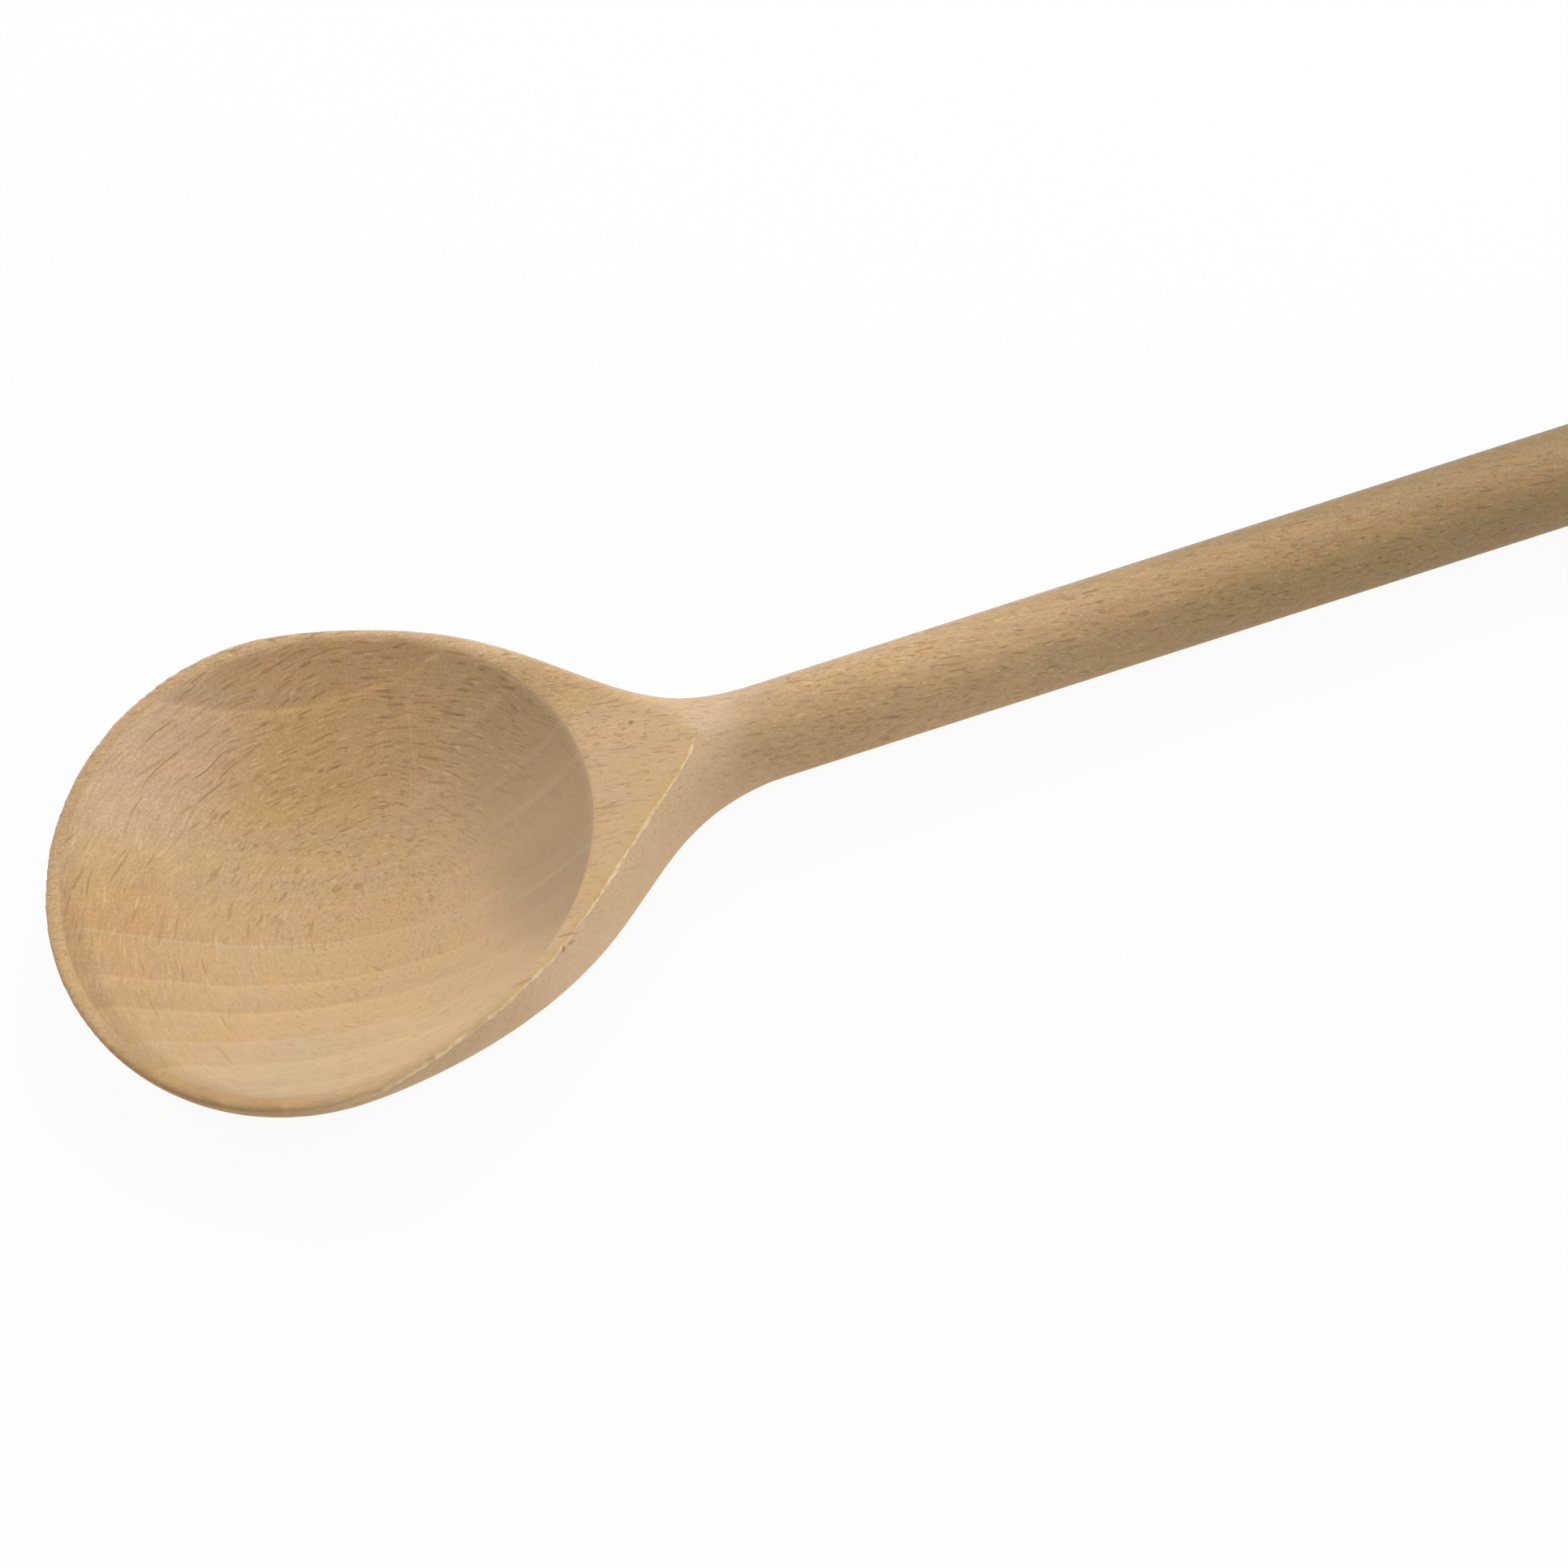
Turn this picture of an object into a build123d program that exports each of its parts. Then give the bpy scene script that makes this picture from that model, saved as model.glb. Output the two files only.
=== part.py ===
"""Wooden cooking spoon, cut from one piece of beech: round handle, flared neck, egg-shaped bowl.

The spoon lies as it rests on a table, bowl up: +Z up, +X along the spoon towards the handle's
end, and the origin on the table top under the middle of the spoon. Millimetres and degrees.
"""
from build123d import *
from math import asin, cos, degrees, hypot, radians, sin
import os

# Overall sizes
spoon_length = 300.0
handle_diameter = 12.0
handle_end_round = 4.5

# Head, seen from above: a half circle at the tip, then a shoulder that runs into the handle
head_radius = 32.0
shoulder_length = 59.5

# Head, seen from the side: heights above or below its widest line
belly_depth = 11.8
crown_height = 13.0
rim_above_widest = 1.2
rim_above_handle_axis = 3.7
head_tilt_angle = 3.4
lip_drop = 1.2

# Hollow of the bowl: the width of the rim round its tip half, how far along the shoulder it
# reaches, its depth at the bowl's centre, and how much deeper it gets in a tip half's length
rim_width = 2.1
hollow_neck_share = 0.632
hollow_depth = 7.0
hollow_neck_gain = 0.42

# Worn edge round the hollow, and how far the cuts run past the wood
hollow_edge_round = 0.5
cut_overrun = 6.0

# Cross-sections of the shoulder, from the bowl's centre to the handle. Each row gives the place
# along the shoulder, then how much of the head's extra width, belly and crown is left there, and
# how high the section's middle is, as a share of the height that the widest line starts from.
shoulder_section_shares = (
    (0.0, 1.0, 1.0, 1.0, 1.0),
    (0.04, 0.996, 0.979, 1.0, 1.0),
    (0.12, 0.971, 0.851, 1.01, 0.81),
    (0.23, 0.914, 0.655, 1.04, 0.46),
    (0.34, 0.834, 0.498, 1.09, 0.18),
    (0.46, 0.709, 0.325, 1.13, -0.15),
    (0.57, 0.543, 0.133, 1.12, -0.53),
    (0.67, 0.346, 0.031, 1.02, -0.70),
    (0.76, 0.173, 0.026, 0.74, -0.64),
    (0.84, 0.070, 0.043, 0.33, -0.42),
    (0.92, 0.019, 0.022, 0.05, -0.14),
    (1.0, 0.0, 0.0, 0.0, 0.0),
)

# Cross-sections of the hollow, as shares of its reach towards the tip (negative) and the neck
hollow_section_shares = (-1.12, -0.75, -0.38, 0.0, 0.38, 0.75, 1.12)
hollow_side_share = 1.15

handle_radius = handle_diameter / 2
hollow_radius = head_radius - rim_width
hollow_neck_reach = hollow_neck_share * shoulder_length
handle_length = spoon_length - head_radius - shoulder_length
widest_above_axis = rim_above_handle_axis - rim_above_widest

# The spoon rests on its belly and on the end of its handle. A few rounds settle the angle.
settle_rounds = 6
belly_to_heel = shoulder_length + handle_length - handle_end_round
rest_angle = 0.0
for settle_round in range(settle_rounds):
    lean = radians(head_tilt_angle - rest_angle)
    widest_height = hypot(head_radius * sin(lean), belly_depth * cos(lean))
    heel_drop = widest_height - (widest_above_axis + handle_radius) * cos(radians(rest_angle))
    rest_angle = degrees(asin(heel_drop / belly_to_heel))
axis_height = widest_height - widest_above_axis * cos(radians(rest_angle))

# The handle's axis runs through this frame, whose origin is under the bowl's centre
bowl_centre_x = head_radius - spoon_length / 2
handle_frame = Plane((bowl_centre_x, 0, axis_height)).rotated((0, rest_angle, 0))

# The rim's frame lies in the flat top face, over the bowl's centre, and tilts down to the tip
rim_frame = handle_frame.offset(rim_above_handle_axis).rotated((0, -head_tilt_angle, 0))
rim_side = Plane(rim_frame.origin, x_dir=rim_frame.x_dir, z_dir=(0, -1, 0))
widest_frame = rim_frame.offset(-rim_above_widest)


def size_between(handle_size, head_size, head_share):
    """A size of the shoulder: the handle's, plus a share of what the head has more."""
    return handle_size + (head_size - handle_size) * head_share


def hollow_depth_at(reach_share, reach):
    """The hollow's depth at its middle line; it is deeper towards the neck."""
    gain = 1 + hollow_neck_gain * reach_share * reach / hollow_radius
    return hollow_depth * gain


with BuildPart() as spoon:
    # Tip half of the head, turned about the bowl's upright axis
    head_plane = Plane(widest_frame.origin, x_dir=(0, 1, 0), z_dir=widest_frame.x_dir)
    with BuildSketch(head_plane):
        with BuildLine():
            belly = EllipticalCenterArc((0, 0), head_radius, belly_depth, -90, arc_size=90)
            crown = EllipticalCenterArc((0, 0), head_radius, crown_height, 0, arc_size=90)
            Line(crown @ 1, belly @ 0)
        make_face()
    revolve(axis=Axis(widest_frame.origin, widest_frame.z_dir), revolution_arc=180)

    # Shoulder and neck, through sections that shrink to the handle's circle
    for place, width_share, belly_share, crown_share, middle_share in shoulder_section_shares:
        middle = handle_frame.from_local_coords(
            (place * shoulder_length, 0, middle_share * widest_above_axis)
        )
        section_plane = Plane(middle, x_dir=(0, 1, 0), z_dir=handle_frame.x_dir)
        if place == 0:
            section_plane = head_plane
        half_width = size_between(handle_radius, head_radius, width_share)
        section_belly = size_between(handle_radius, belly_depth, belly_share)
        section_crown = size_between(handle_radius, crown_height, crown_share)
        with BuildSketch(section_plane):
            with BuildLine():
                EllipticalCenterArc((0, 0), half_width, section_crown, 0, arc_size=90)
                EllipticalCenterArc((0, 0), half_width, section_crown, 90, arc_size=90)
                EllipticalCenterArc((0, 0), half_width, section_belly, 180, arc_size=180)
            make_face()
    loft()

    # Handle
    handle_start = handle_frame.from_local_coords((shoulder_length, 0, 0))
    handle_plane = Plane(handle_start, x_dir=(0, 1, 0), z_dir=handle_frame.x_dir)
    with BuildSketch(handle_plane):
        Circle(handle_radius)
    extrude(amount=handle_length)
    handle_end = spoon.faces().sort_by(Axis.X)[-1]
    fillet(handle_end.edges(), radius=handle_end_round)

    # Flat top face from the neck to the bowl's centre, and the lip that drops from there
    with BuildSketch(rim_side):
        with BuildLine():
            top_line = Line((shoulder_length, 0), (0, 0))
            lip = TangentArc((0, 0), (-head_radius - cut_overrun, -lip_drop), tangent=(-1, 0))
            Polyline(
                lip @ 1,
                (-head_radius - cut_overrun, crown_height + cut_overrun),
                (shoulder_length, crown_height + cut_overrun),
                top_line @ 0,
            )
        make_face()
    extrude(amount=head_radius + cut_overrun, both=True, mode=Mode.SUBTRACT)

    # Hollow of the bowl: every cross-section is a parabola
    for reach_share in hollow_section_shares:
        reach = hollow_neck_reach if reach_share > 0 else hollow_radius
        depth = hollow_depth_at(reach_share, reach)
        side = hollow_side_share * hollow_radius
        middle_height = depth * (reach_share**2 - 1)
        side_height = depth * (reach_share**2 - 1 + hollow_side_share**2)
        section_origin = rim_frame.from_local_coords((reach_share * reach, 0, 0))
        with BuildSketch(Plane(section_origin, x_dir=(0, 1, 0), z_dir=rim_frame.x_dir)):
            with BuildLine():
                dish = Bezier(
                    (-side, side_height),
                    (0, 2 * middle_height - side_height),
                    (side, side_height),
                )
                Polyline(
                    dish @ 1,
                    (side, side_height + cut_overrun),
                    (-side, side_height + cut_overrun),
                    dish @ 0,
                )
            make_face()
    loft(mode=Mode.SUBTRACT)

    # The edge where the hollow meets the rim is worn round
    hollow_bottom = rim_frame.from_local_coords((0, 0, -hollow_depth))
    hollow_face = spoon.faces().sort_by_distance(hollow_bottom)[0]
    fillet(hollow_face.edges(), radius=hollow_edge_round)

spoon.part.label = "spoon"

os.makedirs("parts", exist_ok=True)
export_step(spoon.part, "parts/spoon.step")
print("rest angle", round(rest_angle, 3), "axis height", round(axis_height, 3))
print("volume", round(spoon.part.volume, 1), "valid", spoon.part.is_valid)
print("bounding box", spoon.part.bounding_box())
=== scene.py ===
"""Wooden spoon: carves the beech spoon over its CAD part and sets it on a plain pale stage."""
from math import cos, pi, radians, sin, sqrt

import bmesh
import bpy
import numpy as np
from bpy.props import FloatProperty, FloatVectorProperty, IntProperty, PointerProperty
from bpy.types import Operator, Panel, PropertyGroup
from mathutils import Matrix, Vector


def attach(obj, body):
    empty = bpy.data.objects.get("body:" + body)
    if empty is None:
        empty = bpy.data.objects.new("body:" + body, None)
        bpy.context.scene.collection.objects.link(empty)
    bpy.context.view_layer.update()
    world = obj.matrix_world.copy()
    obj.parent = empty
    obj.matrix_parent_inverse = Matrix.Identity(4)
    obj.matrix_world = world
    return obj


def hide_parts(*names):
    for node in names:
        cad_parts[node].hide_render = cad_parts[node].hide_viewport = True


bl_info = {
    "name": "Wooden spoon",
    "version": (1, 0, 0),
    "blender": (4, 5, 0),
    "location": "View3D > Sidebar > Spoon",
    "description": "Carves a beech cooking spoon and lights it on a plain stage",
    "category": "Add Mesh",
}

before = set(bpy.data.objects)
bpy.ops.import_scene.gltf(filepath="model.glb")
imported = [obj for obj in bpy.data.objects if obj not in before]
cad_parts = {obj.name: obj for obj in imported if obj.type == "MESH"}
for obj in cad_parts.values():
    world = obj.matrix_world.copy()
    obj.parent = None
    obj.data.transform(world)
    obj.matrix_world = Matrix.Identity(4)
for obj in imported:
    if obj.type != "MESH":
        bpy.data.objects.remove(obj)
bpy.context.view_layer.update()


def length_property(name, description, default):
    return FloatProperty(
        name=name, description=description, default=default,
        subtype="DISTANCE", unit="LENGTH", precision=5,
    )


def share_property(name, description, default):
    return FloatProperty(name=name, description=description, default=default, subtype="FACTOR")


def angle_property(name, description, default):
    return FloatProperty(
        name=name, description=description, default=default, subtype="ANGLE", unit="ROTATION"
    )


def colour_property(name, description, default):
    return FloatVectorProperty(
        name=name, description=description, default=(*default, 1.0),
        size=4, subtype="COLOR", min=0, max=1,
    )


class SpoonSizes(PropertyGroup):
    """Sizes of the spoon. Lengths are in metres and angles in radians."""

    length: length_property("Length", "From the tip of the bowl to the end of the handle", 0.3)
    handle_diameter: length_property("Handle diameter", "Thickness of the round handle", 0.012)
    handle_end_round: length_property("Handle end round", "Rounding of the handle's end", 0.0045)
    head_radius: length_property("Head radius", "Half the width of the head", 0.032)
    shoulder_length: length_property(
        "Shoulder length", "From the bowl's centre to the handle", 0.0595
    )
    belly_depth: length_property("Belly depth", "Depth of the belly below the widest line", 0.0118)
    crown_height: length_property(
        "Crown height", "Height of the uncut blank above the widest line", 0.013
    )
    rim_above_widest: length_property(
        "Rim above widest line", "Height of the flat top face", 0.0012
    )
    rim_above_axis: length_property(
        "Rim above handle axis", "Height of the top face over the axis", 0.0037
    )
    lip_drop: length_property("Lip drop", "How far the rim falls just past the tip", 0.0012)
    rim_width: length_property("Rim width", "Wood left round the hollow at the tip", 0.0021)
    hollow_depth: length_property("Hollow depth", "Depth of the hollow at the bowl's centre", 0.007)
    hollow_neck_share: share_property(
        "Hollow neck share", "The hollow's reach up the shoulder", 0.632
    )
    hollow_neck_gain: share_property(
        "Hollow neck gain", "How much deeper the hollow gets to the neck", 0.42
    )
    cut_overrun: length_property("Cut overrun", "How far the cuts run past the wood", 0.006)
    axis_height: length_property(
        "Axis height", "The handle's axis at the bowl, over the table", 0.009381
    )
    handle_lean: angle_property(
        "Handle lean", "How far the handle falls to its end", radians(0.735)
    )
    head_lean: angle_property("Head lean", "How far the rim falls to the tip", radians(2.665))
    mesh_step: length_property("Mesh step", "Size of one face of the finished surface", 0.0005)
    edge_softening: IntProperty(
        name="Edge softening", description="Passes that round off worn edges", default=4
    )


class BeechFinish(PropertyGroup):
    """Colours of the untreated beech, two of them also used for painted light and painted shade."""

    wood: colour_property("Wood", "Plain colour of the beech", (0.585, 0.390, 0.208))
    wood_warm: colour_property("Warm wood", "Yellower patches of the beech", (0.60, 0.392, 0.192))
    wood_blush: colour_property("Blush wood", "Pinker patches of the beech", (0.635, 0.385, 0.215))
    # Grey wood of the broad rings, also painted shade on the hollow's wall by the neck
    grey_wood_and_shade: colour_property(
        "Grey wood", "Greyer, duller patches of the beech", (0.515, 0.350, 0.200)
    )
    wood_pink: colour_property("Pink wood", "Paler, pinkish wood of the sides", (0.57, 0.40, 0.245))
    wood_gold: colour_property("Gold wood", "Yellow wood inside a rubbed edge", (0.60, 0.39, 0.165))
    fleck: colour_property("Fleck", "Short orange-brown dashes in the grain", (0.34, 0.175, 0.058))
    pit: colour_property("Pit", "Dark short dashes, pits and dots", (0.17, 0.10, 0.045))
    # Pale wood of flecks, ring lines and the rubbed edge, also painted sheen on the hollow's walls
    # and a painted highlight on the near edge
    pale_wood_and_sheen: colour_property("Worn edge", "Pale line where an edge is rubbed", (0.80, 0.60, 0.36))


class StageSettings(PropertyGroup):
    """Floor, light and camera."""

    floor_colour: colour_property("Floor", "Colour of the floor", (0.9, 0.9, 0.9))
    lamp_power: FloatProperty(
        name="Lamp power", description="Strength of all the lamps", default=1.0
    )
    sky_strength: FloatProperty(
        name="Sky strength", description="Even light from all round", default=0.2
    )
    view_elevation: angle_property(
        "View elevation", "Camera's height over the handle", radians(65.0)
    )
    view_roll: angle_property("View roll", "How far the handle rises to the right", radians(17.768))
    view_distance: length_property("View distance", "From the camera to the picture's centre", 1.5)
    view_width: length_property("View width", "Width of the picture at the spoon", 0.1922)


# Cross-sections of the shoulder: place, then shares of the head's extra width, belly and crown,
# and the height of the section's middle as a share of the widest line's height
SHOULDER_ROWS = np.array([
    (0.0, 1.0, 1.0, 1.0, 1.0),
    (0.04, 0.996, 0.979, 1.0, 1.0),
    (0.12, 0.971, 0.851, 1.01, 0.81),
    (0.23, 0.914, 0.655, 1.04, 0.46),
    (0.34, 0.834, 0.498, 1.09, 0.18),
    (0.46, 0.709, 0.325, 1.13, -0.15),
    (0.57, 0.543, 0.133, 1.12, -0.53),
    (0.67, 0.346, 0.031, 1.02, -0.70),
    (0.76, 0.173, 0.026, 0.74, -0.64),
    (0.84, 0.070, 0.043, 0.33, -0.42),
    (0.92, 0.019, 0.022, 0.05, -0.14),
    (1.0, 0.0, 0.0, 0.0, 0.0),
])

# Points in each ring of a blank, how near a line a point counts as on it, and how many times a
# blank's faces are divided to smooth it
RING_POINTS = 48
ON_LINE = 1e-4
SMOOTHING_LEVELS = 2

# Where the blank's rings stand: turns in degrees round the tip and round the handle's end, shares
# of the shoulder's length, and how many places share out the handle
TIP_TURNS = (3, 9, 16, 24, 32, 40, 48, 56, 64, 72, 79, 85, 90)
SHOULDER_SHARES = (*np.arange(0.06, 0.99, 0.04), 1.0)
HANDLE_PLACES = 10
END_TURNS = (20, 40, 60, 80, 88)

# The block that cuts the top face: the strips that bend its underside, and its height in metres
TOP_STRIPS = 48
TOP_CUTTER_HEIGHT = 0.03

# Sizes of the dish's rings, as shares of the hollow's reach
DISH_SHARES = (0.06, 0.18, 0.3, 0.42, 0.54, 0.66, 0.78, 0.88, 0.95, 1.02, 1.09, 1.16, 1.22)

# The flat top face's edge: how far it goes, as shares of the head's radius and of the shoulder's
# length, and at how many places it is worked out
TOP_TIP_SHARE = 0.98
TOP_NECK_SHARE = 0.93
EDGE_PLACES = 400

# Gaps from the edges, written on the surface: the least share of the hollow that they divide by,
# the gap in metres that the underside gets, and the largest gap in millimetres
MIDDLE_SHARE = 0.05
UNDERSIDE_GAP = 0.005
GAP_LIMIT = 20
MM_PER_METRE = 1000.0

# How much each pass softens the edges, and the fewest faces of a sound spoon
SOFTENING = 0.5
FEWEST_FACES = 10000


def shoulder_row(place):
    """The four shares at a place along the shoulder, on a smooth curve through the rows."""
    places, shares = SHOULDER_ROWS[:, 0], SHOULDER_ROWS[:, 1:]
    slopes = np.gradient(shares, places, axis=0)
    slopes[0] = 0
    slopes[-1] = 0
    k = int(np.clip(np.searchsorted(places, place) - 1, 0, len(places) - 2))
    step = places[k + 1] - places[k]
    t = (place - places[k]) / step
    start = (1 + 2 * t) * (1 - t) ** 2 * shares[k] + t * (1 - t) ** 2 * step * slopes[k]
    end = t * t * (3 - 2 * t) * shares[k + 1] - t * t * (1 - t) * step * slopes[k + 1]
    return start + end


def leaning_point(origin, lean, along, up):
    """A point given along and up from an origin, in a frame that falls by lean towards +X."""
    x = origin[0] + along * cos(lean) + up * sin(lean)
    z = origin[2] - along * sin(lean) + up * cos(lean)
    return Vector((x, 0, z))


def start_piece(name):
    """A new empty mesh object, open in edit mode."""
    bpy.ops.object.select_all(action="DESELECT")
    piece = bpy.data.objects.new(name, bpy.data.meshes.new(name))
    bpy.context.scene.collection.objects.link(piece)
    bpy.context.view_layer.objects.active = piece
    piece.select_set(True)
    bpy.ops.object.mode_set(mode="EDIT")
    bpy.ops.mesh.select_mode(type="VERT")
    return piece


def select_points(piece, first, last, test=None):
    """Selects the points numbered from first up to last that pass the test, and no others."""
    edited = bmesh.from_edit_mesh(piece.data)
    edited.verts.ensure_lookup_table()
    for face in edited.faces:
        face.select = False
    for edge in edited.edges:
        edge.select = False
    for point in edited.verts:
        point.select = first <= point.index < last and (test is None or test(point.co))
    edited.select_flush(True)
    bmesh.update_edit_mesh(piece.data)


def point_count(piece):
    return len(bmesh.from_edit_mesh(piece.data).verts)


def scale_points(x, y, z):
    bpy.ops.transform.resize(value=(x, y, z), center_override=(0, 0, 0))


def join_rings(piece, new_first):
    """Bridges the ring that starts at this point with the one before it."""
    if new_first >= RING_POINTS:
        select_points(piece, new_first - RING_POINTS, new_first + RING_POINTS)
        bpy.ops.mesh.bridge_edge_loops()


def close_ring(piece, first):
    select_points(piece, first, first + RING_POINTS)
    bpy.ops.mesh.edge_face_add()


def add_upright_ring(piece, place, lean, half_width, below, above):
    """An upright ring of the blank: half an ellipse below its middle and half one above."""
    first = point_count(piece)
    bpy.ops.mesh.primitive_circle_add(vertices=RING_POINTS, radius=1, rotation=(0, pi / 2, 0))
    last = first + RING_POINTS
    select_points(piece, first, last, lambda co: co.z > ON_LINE)
    scale_points(1, 1, above)
    select_points(piece, first, last, lambda co: co.z < -ON_LINE)
    scale_points(1, 1, below)
    select_points(piece, first, last)
    scale_points(1, half_width, 1)
    bpy.ops.transform.rotate(value=-lean, orient_axis="Y", center_override=(0, 0, 0))
    bpy.ops.transform.translate(value=place)
    join_rings(piece, first)


def apply_modifier(piece, kind, **settings):
    modifier = piece.modifiers.new(kind.title(), kind)
    for name, value in settings.items():
        setattr(modifier, name, value)
    bpy.context.view_layer.objects.active = piece
    bpy.ops.object.modifier_apply(modifier=modifier.name)


def finish_piece(piece):
    """Turns the faces outwards, leaves edit mode and smooths the surface."""
    bpy.ops.mesh.select_all(action="SELECT")
    bpy.ops.mesh.normals_make_consistent(inside=False)
    bpy.ops.object.mode_set(mode="OBJECT")
    apply_modifier(piece, "SUBSURF", levels=SMOOTHING_LEVELS, render_levels=SMOOTHING_LEVELS)


def widest_above_axis(sizes):
    return sizes.rim_above_axis - sizes.rim_above_widest


def bowl_origin(sizes):
    """The point of the handle's axis under the bowl's centre."""
    return Vector((sizes.head_radius - sizes.length / 2, 0, sizes.axis_height))


def rim_origin(sizes):
    return leaning_point(bowl_origin(sizes), sizes.handle_lean, 0, sizes.rim_above_axis)


def hollow_reaches(sizes):
    """How far the hollow's edge lies from the bowl's centre: to the sides and to the neck."""
    return sizes.head_radius - sizes.rim_width, sizes.hollow_neck_share * sizes.shoulder_length


def tilt_to_rim(sizes):
    """Tilts the selected points from level to the rim's lean, and moves them to its place."""
    bpy.ops.transform.rotate(value=sizes.head_lean, orient_axis="Y", center_override=(0, 0, 0))
    bpy.ops.transform.translate(value=rim_origin(sizes))


def section_at(sizes, place):
    """Half width, belly, crown and middle height of the shoulder at a place from 0 to 1."""
    handle_radius = sizes.handle_diameter / 2
    width, belly, crown, middle = shoulder_row(place)
    return (
        handle_radius + (sizes.head_radius - handle_radius) * width,
        handle_radius + (sizes.belly_depth - handle_radius) * belly,
        handle_radius + (sizes.crown_height - handle_radius) * crown,
        widest_above_axis(sizes) * middle,
    )


def add_handle_ring(piece, sizes, reach, radius):
    """A round ring at a reach along the handle's axis from the bowl's centre."""
    centre = leaning_point(bowl_origin(sizes), sizes.handle_lean, reach, 0)
    add_upright_ring(piece, centre, sizes.handle_lean, radius, radius, radius)


def turn_blank(sizes):
    """The uncut blank: tip, shoulder, neck and handle, as rings bridged from tip to end."""
    piece = start_piece("spoon_body")
    origin = bowl_origin(sizes)
    widest_centre = leaning_point(rim_origin(sizes), -sizes.head_lean, 0, -sizes.rim_above_widest)
    for turn in TIP_TURNS:
        share = sin(radians(turn))
        along = -sizes.head_radius * cos(radians(turn))
        place = leaning_point(widest_centre, -sizes.head_lean, along, 0)
        add_upright_ring(
            piece, place, -sizes.head_lean,
            sizes.head_radius * share, sizes.belly_depth * share, sizes.crown_height * share,
        )
    for place in SHOULDER_SHARES:
        half_width, belly, crown, middle = section_at(sizes, place)
        centre = leaning_point(origin, sizes.handle_lean, place * sizes.shoulder_length, middle)
        add_upright_ring(piece, centre, sizes.handle_lean, half_width, belly, crown)
    handle_radius = sizes.handle_diameter / 2
    handle_end = sizes.length - sizes.head_radius
    straight_end = handle_end - sizes.handle_end_round
    for reach in np.linspace(sizes.shoulder_length, straight_end, HANDLE_PLACES)[1:]:
        add_handle_ring(piece, sizes, reach, handle_radius)
    for turn in END_TURNS:
        reach = straight_end + sizes.handle_end_round * sin(radians(turn))
        radius = handle_radius - sizes.handle_end_round * (1 - cos(radians(turn)))
        add_handle_ring(piece, sizes, reach, radius)
    close_ring(piece, 0)
    close_ring(piece, point_count(piece) - RING_POINTS)
    finish_piece(piece)
    return piece


def make_top_cutter(sizes):
    """A block whose underside is the flat top face and the lip that falls to the tip."""
    piece = start_piece("top_cutter")
    reach = sizes.head_radius + sizes.cut_overrun
    lip_radius = (reach**2 + sizes.lip_drop**2) / (2 * sizes.lip_drop)
    bpy.ops.mesh.primitive_grid_add(x_subdivisions=TOP_STRIPS, y_subdivisions=1, size=1)
    length = reach + sizes.shoulder_length
    scale_points(length, 2 * reach, 1)
    bpy.ops.transform.translate(value=((sizes.shoulder_length - reach) / 2, 0, 0))
    for k in range(TOP_STRIPS + 1):
        x = -reach + length * k / TOP_STRIPS
        if x < 0:
            select_points(piece, 0, point_count(piece), lambda co: abs(co.x - x) < ON_LINE)
            fall = lip_radius - sqrt(lip_radius**2 - x**2)
            bpy.ops.transform.translate(value=(0, 0, -fall))
    bpy.ops.mesh.select_all(action="SELECT")
    upwards = {"value": (0, 0, TOP_CUTTER_HEIGHT)}
    bpy.ops.mesh.extrude_region_move(TRANSFORM_OT_translate=upwards)
    bpy.ops.mesh.select_all(action="SELECT")
    bpy.ops.mesh.normals_make_consistent(inside=False)
    tilt_to_rim(sizes)
    bpy.ops.object.mode_set(mode="OBJECT")
    return piece


def make_hollow_cutter(sizes):
    """The shape of the dish, as flat rings that widen from its bottom, bridged and closed."""
    piece = start_piece("hollow_cutter")
    side_reach, neck_reach = hollow_reaches(sizes)
    for share in DISH_SHARES:
        first = point_count(piece)
        bpy.ops.mesh.primitive_circle_add(vertices=RING_POINTS, radius=share)
        last = first + RING_POINTS
        select_points(piece, first, last, lambda co: co.x > ON_LINE)
        scale_points(neck_reach, 1, 1)
        select_points(piece, first, last, lambda co: co.x < -ON_LINE)
        scale_points(side_reach, 1, 1)
        select_points(piece, first, last)
        scale_points(1, side_reach, 1)
        height = sizes.hollow_depth * (share**2 - 1)
        slope = height * sizes.hollow_neck_gain / side_reach
        bpy.ops.transform.rotate(value=slope, orient_axis="Y", center_override=(0, 0, 0))
        bpy.ops.transform.translate(value=(0, 0, height))
        join_rings(piece, first)
    close_ring(piece, 0)
    close_ring(piece, point_count(piece) - RING_POINTS)
    bpy.ops.mesh.select_all(action="SELECT")
    tilt_to_rim(sizes)
    finish_piece(piece)
    return piece


def cut_away(piece, cutter):
    bpy.ops.object.select_all(action="DESELECT")
    apply_modifier(piece, "BOOLEAN", operation="DIFFERENCE", object=cutter, solver="EXACT")
    bpy.data.objects.remove(cutter)


def surface_facts(piece):
    """Places and normals of the piece's points, as arrays."""
    count = len(piece.data.vertices)
    places, normals = np.zeros(count * 3), np.zeros(count * 3)
    piece.data.vertices.foreach_get("co", places)
    piece.data.vertices.foreach_get("normal", normals)
    return places.reshape(-1, 3), normals.reshape(-1, 3)


def outer_edge(sizes):
    """Half width of the flat top face, at a row of places along the rim."""
    first, last = -TOP_TIP_SHARE * sizes.head_radius, TOP_NECK_SHARE * sizes.shoulder_length
    reaches = np.linspace(first, last, EDGE_PLACES)
    half_widths = []
    for reach in reaches:
        if reach < 0:
            share = sqrt(1 - (reach / sizes.head_radius) ** 2)
            half_width, crown = sizes.head_radius * share, sizes.crown_height * share
            level = sizes.rim_above_widest
        else:
            half_width, _, crown, middle = section_at(sizes, reach / sizes.shoulder_length)
            level = sizes.rim_above_axis + reach * sin(sizes.head_lean + sizes.handle_lean) - middle
        half_widths.append(half_width * sqrt(max(0.0, 1 - (level / crown) ** 2)))
    return reaches, np.array(half_widths)


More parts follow.
